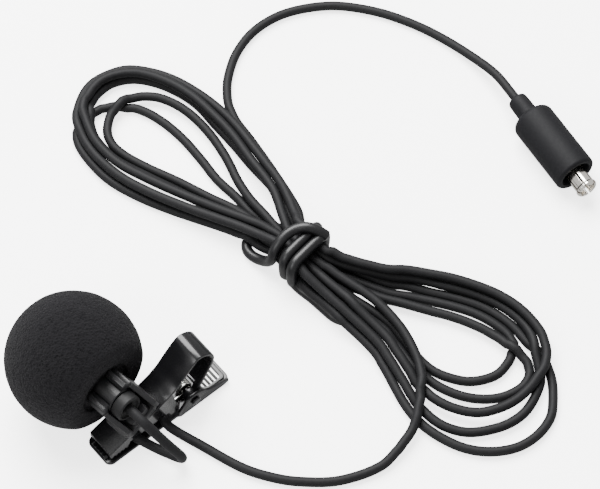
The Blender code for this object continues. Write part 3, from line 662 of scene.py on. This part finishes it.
def first_shape():
    """Whole cable from the jaw to the plug: points, and which of them are held where they are."""
    plan = hank_plan()
    fall = START_FALL / (len(plan) - 1)
    middle = [
        (x, y, START_HEIGHT - fall * index + max(0.0, LEAD_RISE - index)) for index, (x, y) in enumerate(plan)
    ]
    start = smooth_route(LEAD_ROUTE, SPACING)
    inside = [PLUG_SHOULDER + PLUG_HEADING * along for along in (-7.6, -5.6, -2.0, 3.0, 6.5)]
    end = smooth_route(TAIL_ROUTE + [tuple(point) for point in inside], SPACING)
    flat = [(x, y, 0.0) for x, y, _ in middle]
    bridge = [(*start[-1][:2], 0.0), *flat, (*end[0][:2], 0.0)]
    heights = [start[-1][2], *[point[2] for point in middle], end[0][2]]
    route = smooth_route(bridge, SPACING)
    knots = np.array(bridge)
    spots = []
    last = 0
    for knot in knots:
        ahead = route[last:]
        gaps = np.linalg.norm(ahead[:60, :2] - knot[:2], axis=1)
        last += int(gaps.argmin())
        spots.append(last)
    route[:, 2] = np.interp(np.arange(len(route)), spots, heights)
    whole = np.vstack([start[:-1], route, end[1:]])
    whole[:, 2] = np.maximum(whole[:, 2], CORD_RADIUS)
    held = np.zeros(len(whole), bool)
    held[: len(start) - 10] = True
    held[len(whole) - len(end) + 4 :] = True
    return whole, held, (len(start) - 1, len(whole) - len(end))


def bend_gently(pos, rest_shape, free, settled):
    """Spreads out any bend that the planned shape doesn't have, then evens the height over a longer reach."""
    strain = pos - rest_shape
    for reach, weight in ((1, 0.25), (3, 0.18), (7, 0.10)):
        bend = (strain[: -2 * reach] + strain[2 * reach :]) / 2 - strain[reach:-reach]
        pos[reach:-reach] += bend * weight * (1 - 0.6 * settled) * free[reach:-reach]
    reach = 12
    bend = (pos[: -2 * reach, 2] + pos[2 * reach :, 2]) / 2 - pos[reach:-reach, 2]
    pos[reach:-reach, 2] += bend * (0.02 if settled else 0.10) * free[reach:-reach, 0]


def keep_length(pos, rest, free):
    """Moves neighbouring points part of the way back to their own distance."""
    index = np.arange(len(pos))
    for _ in range(2):
        for parity in (0, 1):
            a = index[parity : len(pos) - 1 : 2]
            b = a + 1
            way = pos[b] - pos[a]
            size = np.linalg.norm(way, axis=1)
            give = ((size - rest[a]) / np.maximum(size, 1e-9) * 0.2)[:, None] * way
            pos[a] += give * free[a]
            pos[b] -= give * free[b]


def squeeze_in_tie(pos, free, share):
    """Holds the strands that pass through the tie inside it, while it closes on them."""
    near, far = TIE_SPAN
    inside = (pos[:, 1] > near - 1.0) & (pos[:, 1] < far + 1.0) & (free[:, 0] > 0)
    if not inside.any():
        return
    squeeze = min(1.0, share / SQUEEZED_BY)
    tall = TIE_OPEN + (TIE_TALL - TIE_OPEN) * squeeze
    centre_z = TIE_CENTRE.z + (1 - squeeze) * TIE_DROP
    x = (pos[inside, 0] - TIE_CENTRE.x) / TIE_WIDE
    z = (pos[inside, 2] - centre_z) / tall
    pos[inside, 0] = TIE_CENTRE.x + np.clip(x, -1, 1) * TIE_WIDE
    pos[inside, 2] = centre_z + np.clip(z, -1, 1) * tall


def close_pairs(pos):
    """Pairs of points that are near each other, but not neighbours along the cable."""
    gap = pos[:, None, :] - pos[None, :, :]
    close = (gap**2).sum(2) < LOOK_AROUND**2
    return np.nonzero(np.triu(close, 5))


def part_strands(pos, pairs, free, passes):
    """Pushes strands apart where they are inside one another."""
    a, b = pairs
    for _ in range(passes):
        way = pos[a] - pos[b]
        size = np.linalg.norm(way, axis=1)
        touch = size < STRAND_GAP
        if not touch.any():
            continue
        i, j = a[touch], b[touch]
        share = ((STRAND_GAP - size[touch]) * 0.5)[:, None]
        push = way[touch] / np.maximum(size[touch], 1e-6)[:, None] * share
        move = np.zeros_like(pos)
        count = np.zeros(len(pos))
        np.add.at(move, i, push)
        np.add.at(move, j, -push)
        np.add.at(count, i, 1)
        np.add.at(count, j, 1)
        pos += move / np.maximum(count, 1)[:, None] ** 0.5 * free


def lift_off_tie(pos, fold, free):
    """Moves strands out of the tie's fold and bight, mostly upward."""
    way = pos[:, None, :] - fold[None, :, :]
    size = np.linalg.norm(way, axis=2)
    nearest = size.argmin(1)
    index = np.arange(len(pos))
    span_now = size[index, nearest]
    deep = (span_now < CORD_RADIUS + TIE_RADIUS) & (free[:, 0] > 0)
    if deep.any():
        lift = (CORD_RADIUS + TIE_RADIUS - span_now[deep])[:, None]
        aside = way[index, nearest][deep] / np.maximum(span_now[deep], 1e-6)[:, None]
        aside[:, 2] = np.maximum(aside[:, 2], 0.35)
        pos[deep] += aside * lift


def relax(points, held, span):
    """Lets the cable sink on the table and on itself, bending gently. Some overlap of strands is left."""
    pos = points.copy()
    home = points[:, :2].copy()
    free = (~held).astype(float)[:, None]
    flat = points.copy()
    flat[:, 2] = 0
    rest_shape = flat.copy()
    rest_shape[held] = points[held]
    rest = np.linalg.norm(np.diff(flat, axis=0), axis=1)
    rest[: span[0]] = np.linalg.norm(np.diff(points[: span[0] + 1], axis=0), axis=1)
    rest[span[1] :] = np.linalg.norm(np.diff(points[span[1] :], axis=0), axis=1)
    rest = np.maximum(rest, 0.4)
    fold = np.vstack([smooth_route(TIE_FOLD, 0.8), smooth_route(TIE_BIGHT, 0.8)])
    for step in range(ROUNDS):
        share = step / ROUNDS
        settled = share > SETTLING
        before = pos[:, 2].copy()
        pos[:, 2] -= (0.02 if settled else 0.10 * (1 - share) + 0.012) * free[:, 0]
        bend_gently(pos, rest_shape, free, settled)
        if not settled:
            pos[:, :2] += (home - pos[:, :2]) * 0.025 * free
        keep_length(pos, rest, free)
        pos[:, 2] = np.maximum(pos[:, 2], before - LARGEST_FALL)
        squeeze_in_tie(pos, free, share)
        if step % 6 == 0:
            pairs = close_pairs(pos)
        part_strands(pos, pairs, free, 3 if share < 0.7 else 6)
        lift_off_tie(pos, fold, free)
        low = pos[:, 2] < CORD_RADIUS
        pos[low, 2] = np.where(free[low, 0] > 0, CORD_RADIUS, pos[low, 2])
    return pos


# ---------------------------------------------------------------- tie

def tie_route():
    """From the cut end, an arc over the wraps, the bight, nearly two wraps round the bundle, the fold."""
    arc = [
        (70.1, 5.9, 9.6), (69.0, 7.6, 10.9), (67.4, 9.5, 11.6),
        (65.4, 10.9, 11.2), (62.9, 11.4, 10.6), (60.7, 11.2, 9.7),
    ]
    wraps = []
    for step in range(1, 34):
        angle = math.radians(270 + 20 * step)
        turn = (angle - math.radians(450)) / math.tau
        across = math.copysign(abs(math.cos(angle)) ** 0.5, math.cos(angle))
        up = math.copysign(abs(math.sin(angle)) ** 0.5, math.sin(angle))
        wraps.append((
            TIE_CENTRE.x + WRAP_HALF_WIDTH * across,
            TIE_CENTRE.y - WRAP_PITCH * turn + WRAP_LEAN * across,
            TIE_CENTRE.z + WRAP_HALF_HEIGHT * up,
        ))
    return arc + TIE_BIGHT + wraps + TIE_FOLD


def build_tie():
    route = smooth_route(tie_route(), 0.7)
    tie = cord_curve("tie_cord", route, TIE_RADIUS, TIE_RUBBER, "clip_base")
    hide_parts("cable_tie")
    return tie, route


# ---------------------------------------------------------------- clip

def sawtooth(start, end, pitch, root, tip):
    count = round((end - start) / pitch)
    points = []
    for number in range(count):
        points.append((start + pitch * number, root))
        points.append((start + pitch * (number + 0.5), tip))
    points.append((start + pitch * count, root))
    return points


def rod(radius, low, high, place, steps=40):
    return turned([(0, low), (radius, low), (radius, high), (0, high)], place, steps, ring=False)


def sleeve(inner, outer, low, high, place, steps=48, soft=0.0):
    profile = [(inner, low), (outer, low), (outer, high), (inner, high)]
    if soft:
        profile = softened(profile, soft)
    return turned(profile, place, steps)


def box(low, high, place=UPRIGHT):
    shape = bmesh.new()
    bmesh.ops.create_cube(shape, size=1)
    low, high = Vector(low), Vector(high)
    for vertex in shape.verts:
        vertex.co = [(a + b) / 2 + (b - a) * v for a, b, v in zip(low, high, vertex.co)]
    bmesh.ops.transform(shape, matrix=place, verts=shape.verts)
    return shape


def build_lower_plate():
    """Stamped steel plate: toothed jaw lip, two folded ears for the pin, and a tail window with four bars."""
    outline = rounded(
        [(0, -4.1), (19.0, -4.1), (19.8, -4.5), (PLATE_LENGTH, -4.5),
         (PLATE_LENGTH, 4.5), (19.8, 4.5), (19.0, 4.1), (0, 4.1)],
        [1.6, 0.6, 0.6, 1.8, 1.8, 0.6, 0.6, 1.6], 10,
    )
    plate = finish_mesh("lower_plate", extruded(outline, 0, 0.9, UPRIGHT, 0.16), ENAMEL, None)
    crown = [
        (PIN_X + 3.3 * math.cos(angle), PIN_Z - 0.2 + 2.6 * math.sin(angle))
        for angle in [math.radians(25 + 6.5 * step) for step in range(21)]
    ]
    ear = [(19.3, 0.3), (33.2, 0.3), (33.2, 1.5), (30.5, 2.0), (28.0, 2.9)] + crown + [(19.3, 2.2)]
    walls = [extruded(ear, low, high, PROFILE, 0.14) for low, high in ((-4.48, -3.85), (3.85, 4.48))]
    teeth = [(-2.5, 0.5), (2.5, 0.5), *reversed(sawtooth(-2.5, 2.5, 1.0, 1.4, 2.0))]
    lip = extruded(teeth, 0.3, 1.1, ACROSS, 0.06, 1)
    rim_outline = rounded([(26.7, -3.6), (33.1, -3.6), (33.1, 3.6), (26.7, 3.6)], 1.0, 8)
    rim = extruded(rim_outline, 0.5, 1.4, UPRIGHT, 0.2)
    cut(plate, "UNION", *walls, lip, rim)
    window_outline = rounded([(27.5, -2.9), (32.3, -2.9), (32.3, 2.9), (27.5, 2.9)], 0.9, 8)
    window = extruded(window_outline, -1, 2, UPRIGHT)
    cut(plate, "DIFFERENCE", window, rod(1.05, -6, 6, PIN))
    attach(plate, "clip_base")
    bars = [
        extruded([(x, -3.1), (x + 0.55, -3.1), (x + 0.55, 3.1), (x, 3.1)], 0.1, 0.65, UPRIGHT, 0.08)
        for x in (28.15, 29.15, 30.15, 31.15)
    ]
    # The slats take the duller black instead of the plate's enamel: painted shade, as if they lay in shadow
    # under the plate's rim.
    slats = finish_mesh("tail_slats", bars[0], SHADE_SATIN, "clip_base")
    cut(slats, "UNION", *bars[1:])
    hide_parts("clip_lower_plate")


def strip_outline():
    slope = math.tan(SLOPE)
    straight = [(x, 4.3 + slope * (x - 1.0)) for x in (1.0, 4.0, 8.0, 12.0, 15.0, 17.0)]
    loop = [
        (18.4, 11.5), (19.9, 12.6), (21.4, 14.3), (22.9, 15.9), (24.3, 17.3), (25.5, 18.2), (26.7, 18.4),
        (28.0, 17.9), (29.1, 17.0), (29.9, 15.8), (30.3, 14.4), (30.2, 12.9), (29.6, 11.3),
        (28.6, 9.6), (27.5, 7.8), (26.4, 6.0), (25.35, 4.1),
    ]
    outer = smooth_route([(x, 0, z) for x, z in straight + loop], 0.42)
    way = np.gradient(outer, axis=0)
    way /= np.linalg.norm(way, axis=1)[:, None]
    inner = outer + np.stack([way[:, 2], 0 * way[:, 0], -way[:, 0]], axis=1) * 0.8
    return [(point[0], point[2]) for point in [*outer, *inner[::-1]]]


def build_lever():
    """Upper jaw bent from one strip: toothed lip, side flanges, slope, curled thumb loop and pin knuckles."""
    half = 3.65
    lever = finish_mesh("lever_strip", extruded(strip_outline(), -half, half, PROFILE, 0.2), ENAMEL, None)
    teeth = sawtooth(1.0, 6.0, 1.0, 2.6, 1.8)
    lobe_points = [
        (6.5, 3.8), (12.0, 3.86), (16.6, 3.9), (17.3, 3.2), (17.7, 2.2),
        (18.4, 1.6), (19.2, 1.7), (19.7, 2.5), (19.6, 4.6), (18.9, 9.0),
    ]
    lobe = smooth_route([(x, 0, z) for x, z in lobe_points], 0.45)
    top = [(18.5, 11.2), (17.0, 10.3), (12.0, 8.3), (6.0, 5.9), (1.1, 3.9)]
    outline = teeth + [(x, z) for x, _, z in lobe] + top
    sides = ((-half + 0.02, -3.05), (3.05, half - 0.02))
    flanges = [extruded(outline, low, high, PROFILE, 0.1) for low, high in sides]
    lip_teeth = [(-3.5, 3.9), *sawtooth(-3.5, 3.5, 1.0, 2.9, 2.4), (3.5, 3.9)]
    lip = extruded(lip_teeth, 1.05, 1.75, ACROSS, 0.06, 1)
    knuckles = [sleeve(1.05, 1.75, low, high, PIN, 40, 0.12) for low, high in ((-3.5, -2.05), (2.05, 3.5))]
    cut(lever, "UNION", *flanges, lip)
    cut(lever, "DIFFERENCE", box((22.0, -2.05, 1.0), (28.0, 2.05, 6.4)), rod(1.25, -3, 3, HOLDER))
    cut(lever, "UNION", *knuckles)
    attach(lever, "lever")
    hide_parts("clip_lever")


def build_spring():
    """Three and a quarter turns of wire round the pin, with a leg on each half of the clip."""
    turns, radius, half = 3, 1.45, 0.95
    steps = turns * 28 + 7
    coil = []
    for step in range(steps + 1):
        share = step / steps
        angle = math.radians(-90) + (math.tau * turns + math.radians(90)) * share
        coil.append((
            PIN_X + radius * math.cos(angle), -half + 2 * half * share, PIN_Z + radius * math.sin(angle),
        ))
    lower_leg = [(20.3, -half, PIN_Z - radius), (22.0, -half, PIN_Z - radius)]
    upper_leg = [(25.2, half, 4.2), (25.05, half, 5.4), (25.25, half, 6.6), (25.75, half, 7.7)]
    route = smooth_route(lower_leg + coil + upper_leg, 0.28)
    spring = finish_mesh("spring_wire", tube_mesh(route, 0.3, 14), STEEL, None)
    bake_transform(spring)
    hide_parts("torsion_spring")


# ---------------------------------------------------------------- holder and microphone

def ring_outline():
    """Clip ring in (height, side): its mouth upward, and two grip ribs on each arm."""
    outer = []
    inner = []
    mouth = math.radians(35)
    bore = 3.5
    wall = 4.75
    rib_height = 0.55
    rib_width = math.radians(5)
    ribs = (math.radians(45), math.radians(62))
    steps = 150
    for step in range(steps + 1):
        angle = mouth + (math.tau - 2 * mouth) * step / steps
        folded = min(angle, math.tau - angle)
        bump = sum(max(0.0, 1 - ((folded - rib) / rib_width) ** 2) for rib in ribs)
        reach = wall + rib_height * bump
        outer.append((MIC_HEIGHT + reach * math.cos(angle), reach * math.sin(angle)))
        inner.append((MIC_HEIGHT + bore * math.cos(angle), bore * math.sin(angle)))
    return outer + inner[::-1]


def build_holder():
    """Moulded holder: base plate, neck, open clip ring and a gusset on each side, bored for the rivet."""
    corners = [(-5.85, -4.0), (4.65, -4.0), (4.65, 3.6), (-5.85, 3.6)]
    base = extruded(rounded(corners, 1.8, 12), 0.3, 2.1, HOLDER, 0.28, 4)
    holder = finish_mesh("holder_body", base, HOLDER_SKIN, None)
    foot = HOLDER.translation
    ringed = axes(foot, SQUARE, SIDE, AHEAD)
    sided = axes(foot, AHEAD, SQUARE, SIDE)
    ring = extruded(ring_outline(), RING_AHEAD - 2.5, RING_AHEAD + 2.5, ringed, 0.22, 3)
    neck = extruded(rounded([(-2.6, -3.6), (2.6, -3.6), (2.6, 3.9), (-2.6, 3.9)], 0.8), 1.5, 4.0, HOLDER)
    slope = rounded(
        [(-4.1, 1.2), (3.8, 1.2), (3.8, 5.6), (1.6, MIC_HEIGHT + 1.4), (0.1, MIC_HEIGHT + 1.6), (-4.1, 3.4)],
        [0.1, 0.1, 0.6, 0.6, 0.6, 1.2], 8,
    )
    gussets = [extruded(slope, low, high, sided, 0.24, 3) for low, high in ((-4.7, -3.55), (3.55, 4.7))]
    cut(holder, "UNION", neck, ring, *gussets)
    cut(holder, "DIFFERENCE", rod(1.25, -1, 3.35, HOLDER))
    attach(holder, "microphone")
    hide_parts("mic_holder")


def build_boot():
    """Rubber boot behind the housing: a rounded rim round a shallow dish that the cable leaves by."""
    profile = [
        (1.3, -3.2), (1.3, -4.6), (1.55, -4.75), (2.3, -4.8), (2.5, -5.0),
        (2.6, -5.4), (2.95, -5.4), (3.15, -5.1), (3.15, -2.8), (1.3, -2.8),
    ]
    shape = turned(softened(profile, 0.14), MIC, 80)
    finish_mesh("boot_skin", shape, RUBBER, "microphone", ["rear_boot"], 50)


def build_windscreen():
    """Foam ball with an uneven skin, rolled in round its socket, and the socket and bore inside it."""
    rim_height = BALL_BACK + BALL_RIM
    rim_middle = math.sqrt((BALL_RADIUS - BALL_RIM) ** 2 - rim_height**2)
    turn = math.atan2(-rim_height, rim_middle)
    profile = [(0, BALL_RADIUS)]
    for step in range(1, 91):
        angle = math.radians(90) + (-turn - math.radians(90)) * step / 90
        profile.append((BALL_RADIUS * math.cos(angle), BALL_RADIUS * math.sin(angle)))
    for step in range(1, 15):
        angle = -turn + (turn - math.radians(90)) * step / 14
        profile.append((rim_middle + BALL_RIM * math.cos(angle), rim_height + BALL_RIM * math.sin(angle)))
    profile += [(7.4, BALL_BACK), (6.6, BALL_BACK + 0.05), (6.3, BALL_BACK + 0.4), (6.3, -9.7), (6.1, -9.4),
                (5.0, -9.4), (4.0, -9.4), (3.5, -9.1)]
    profile += [(3.5, z) for z in (-7.5, -5.5, -3.5, -1.5, 0.5, 2.5, 3.6)] + [(2.7, 4.2), (0, 4.2)]
    shape = turned(profile, BALL, 200, ring=False)
    shape.normal_update()
    for vertex in shape.verts:
        local = BALL.inverted() @ vertex.co
        outside = local.length > 11
        depth = 0.06 if outside else 0.02
        place = vertex.co
        rough = noise.noise(place * 1.9) * 0.6 + noise.noise(place * 4.3) * 0.4
        slow = noise.noise(place * 0.28)
        vertex.co = place + vertex.normal * (depth * rough + (0.07 * slow if outside else 0))
    ball = finish_mesh("foam_ball", shape, FOAM, "windscreen", ["windscreen"], 60)


# ---------------------------------------------------------------- plug

def quarter_round(radius, across, along, sharp_at, steps):
    """Quarter of a circle for a profile, from sharp_at degrees, round the point across and along."""
    angles = [math.radians(sharp_at + 90 * step / steps) for step in range(steps + 1)]
    return [(across + radius * math.cos(angle), along + radius * math.sin(angle)) for angle in angles]


def build_plug():
    """Moulded barrel and strain relief, with a contact sleeve split into six by three slits through it."""
    end = 18.7
    shoulder = quarter_round(1.8, 3.2, 1.8, -90, 12)
    front = quarter_round(0.8, 4.2, end - 0.8, 0, 6)
    shell = [
        (1.6, 0), *shoulder, (5.0, 6.0), (5.0, 12.0), *front, (3.85, end), (3.68, end - 0.12),
        (3.6, end - 0.4), (3.6, end - 4.5), (2.8, end - 4.7), (2.8, 3.0), (1.6, 3.0),
    ]
    barrel_shape = turned(shell, PLUG, 96)
    barrel = finish_mesh(
        "barrel_skin", barrel_shape, OVERMOULD, "clip_base", ["plug_barrel"], 40,
    )
    neck = [
        (1.3, -5.6), (1.75, -5.6), (2.1, -5.45), (2.3, -5.1), (2.36, -4.6), (2.42, -2.6), (2.44, -0.9),
        (2.6, -0.3), (1.3, -0.3),
    ]
    relief = finish_mesh(
        "relief_skin", turned(softened(neck, 0.3), PLUG, 72), OVERMOULD, "clip_base",
        ["plug_strain_relief"], 50,
    )
    top = end + 4.7
    collet = [
        (1.75, 10.0), (2.35, 10.0), (2.35, top - 1.25), (2.42, top - 1.1), (2.57, top - 0.85),
        (2.57, top - 0.45), (2.4, top - 0.15), (2.2, top), (1.9, top), (1.75, top - 0.2),
    ]
    ring = finish_mesh("collet_skin", turned(softened(collet, 0.08), PLUG, 96), NICKEL, None)
    slits = []
    for number in range(3):
        spin = PLUG @ Matrix.Rotation(math.radians(47 + 60 * number), 4, "Z")
        slits.append(box((-4, -0.24, end - 1.5), (4, 0.24, top + 1), spin))
    for slit in slits:
        cut(ring, "DIFFERENCE", slit)
    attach(ring, "clip_base")
    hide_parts("plug_contact_sleeve")
    return barrel, relief, ring


def dress_solids():
    """Gives the solids that stay in view, or inside the others, their materials."""
    for name, surface in (
        ("pivot_pin", ENAMEL), ("holder_rivet", STEEL), ("rivet_washer", STEEL), ("mic_housing", HOUSING),
        ("mic_end_grille", HOUSING), ("dust_felt", FELT), ("electret_capsule", STEEL),
        ("capsule_gasket", RUBBER), ("capsule_board", BOARD), ("cable_anchor", STEEL),
        ("cable_entry_core", RUBBER), ("plug_insulator", INSULATOR), ("plug_centre_contact", NICKEL),
        ("plug_crimp_ferrule", STEEL),
    ):
        solid = frame["nodes"][name]
        solid.data.materials.clear()
        solid.data.materials.append(surface)
        solid.data.shade_smooth()
        solid.data.set_sharp_from_angle(angle=math.radians(CREASE))


def build_near_cable():
    """Cable from the boot to the jaw, in two pieces: a short root and the loop after it."""
    route = smooth_route(FIRST_ROUTE + LEAD_ROUTE[1:3], 0.5)
    meeting = int(np.linalg.norm(route - np.array(FIRST_ROUTE[-1]), axis=1).argmin())
    line = route[: meeting + 1]
    line[:, 2] = np.maximum(line[:, 2], CORD_RADIUS)
    steps = np.linalg.norm(np.diff(line, axis=0), axis=1)
    parting = int(np.searchsorted(np.cumsum(steps), ROOT_LENGTH)) + 1
    root_line = line[: parting + 1]
    loop_line = line[parting:]
    root = finish_mesh("cable_root", tube_mesh(root_line, CORD_RADIUS), SHEATH, None, crease=80)
    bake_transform(root)
    near = finish_mesh("cable_near", tube_mesh(loop_line, CORD_RADIUS), SHEATH, None, crease=80)
    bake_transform(near)
    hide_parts("cable_stub")


def build_main_cable():
    """Cable from the jaw through the hank to the plug."""
    whole, held, span = first_shape()
    line = relax(whole, held, span)
    main = cord_curve("cable_main", line, CORD_RADIUS, SHEATH, "clip_base")
    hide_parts("cable_lead", "cable_hank", "cable_plug_tail")
    return main, line


make_camera()
make_floor()
make_lights()

build_near_cable()
main, cable = build_main_cable()
tie, tie_line = build_tie()

build_lower_plate()
build_lever()
build_spring()
build_holder()
build_boot()
build_windscreen()
plug_pieces = build_plug()
dress_solids()
